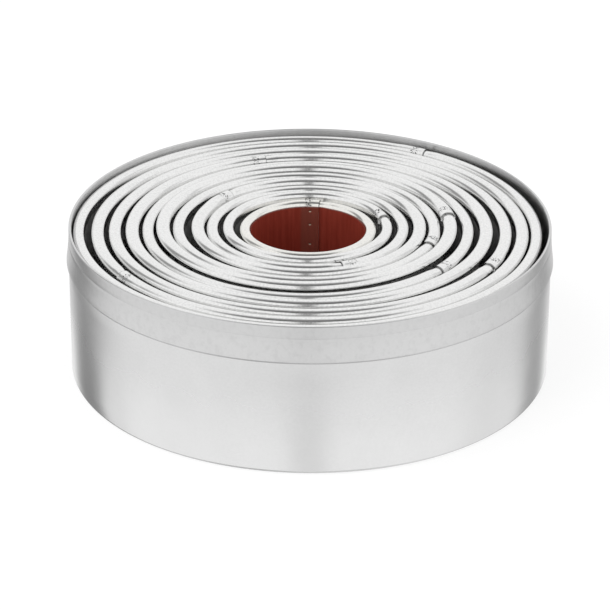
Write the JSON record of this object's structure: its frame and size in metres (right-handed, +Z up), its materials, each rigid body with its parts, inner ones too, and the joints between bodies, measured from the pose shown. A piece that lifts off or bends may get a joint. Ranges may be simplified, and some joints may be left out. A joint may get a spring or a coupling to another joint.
{
  "type": "biscuit cutter set",
  "caption": "Nest of plain round pastry cutters with rolled top beads, standing in their open round tin; each lifts straight out.",
  "frame": {"origin": "centre of the tin's underside, on the surface it stands on", "axes": "+Z up, out of the tin's mouth; +X to the right and +Y away from the viewer in the picture"},
  "size_m": [0.1028, 0.1028, 0.0328],
  "materials": {
    "tin_tinplate": "satin tinplate, rolled grain running round the tin",
    "cutter_tinplate": "bright tinplate with a faint mottled grain",
    "lacquered_tinplate": "bright tinplate outside and over the bead, red-brown lacquer on the inner wall"
  },
  "bodies": {
    "tin": {"tin_body": "tin_tinplate"},
    "cutter_01": {"cutter_01": "lacquered_tinplate"},
    "cutter_02": {"cutter_02": "cutter_tinplate"},
    "cutter_03": {"cutter_03": "cutter_tinplate"},
    "cutter_04": {"cutter_04": "cutter_tinplate"},
    "cutter_05": {"cutter_05": "cutter_tinplate"},
    "cutter_06": {"cutter_06": "cutter_tinplate"},
    "cutter_07": {"cutter_07": "cutter_tinplate"},
    "cutter_08": {"cutter_08": "cutter_tinplate"},
    "cutter_09": {"cutter_09": "cutter_tinplate"},
    "cutter_10": {"cutter_10": "cutter_tinplate"},
    "cutter_11": {"cutter_11": "cutter_tinplate"}
  },
  "joints": [
    {"name": "cutter_01_lift", "type": "slide", "parent": "tin", "child": "cutter_01", "axis": [0, 0, 1], "range_m": [0, 0.04]},
    {"name": "cutter_02_lift", "type": "slide", "parent": "tin", "child": "cutter_02", "axis": [0, 0, 1], "range_m": [0, 0.04]},
    {"name": "cutter_03_lift", "type": "slide", "parent": "tin", "child": "cutter_03", "axis": [0, 0, 1], "range_m": [0, 0.04]},
    {"name": "cutter_04_lift", "type": "slide", "parent": "tin", "child": "cutter_04", "axis": [0, 0, 1], "range_m": [0, 0.04]},
    {"name": "cutter_05_lift", "type": "slide", "parent": "tin", "child": "cutter_05", "axis": [0, 0, 1], "range_m": [0, 0.04]},
    {"name": "cutter_06_lift", "type": "slide", "parent": "tin", "child": "cutter_06", "axis": [0, 0, 1], "range_m": [0, 0.04]},
    {"name": "cutter_07_lift", "type": "slide", "parent": "tin", "child": "cutter_07", "axis": [0, 0, 1], "range_m": [0, 0.04]},
    {"name": "cutter_08_lift", "type": "slide", "parent": "tin", "child": "cutter_08", "axis": [0, 0, 1], "range_m": [0, 0.04]},
    {"name": "cutter_09_lift", "type": "slide", "parent": "tin", "child": "cutter_09", "axis": [0, 0, 1], "range_m": [0, 0.04]},
    {"name": "cutter_10_lift", "type": "slide", "parent": "tin", "child": "cutter_10", "axis": [0, 0, 1], "range_m": [0, 0.04]},
    {"name": "cutter_11_lift", "type": "slide", "parent": "tin", "child": "cutter_11", "axis": [0, 0, 1], "range_m": [0, 0.04]}
  ]
}
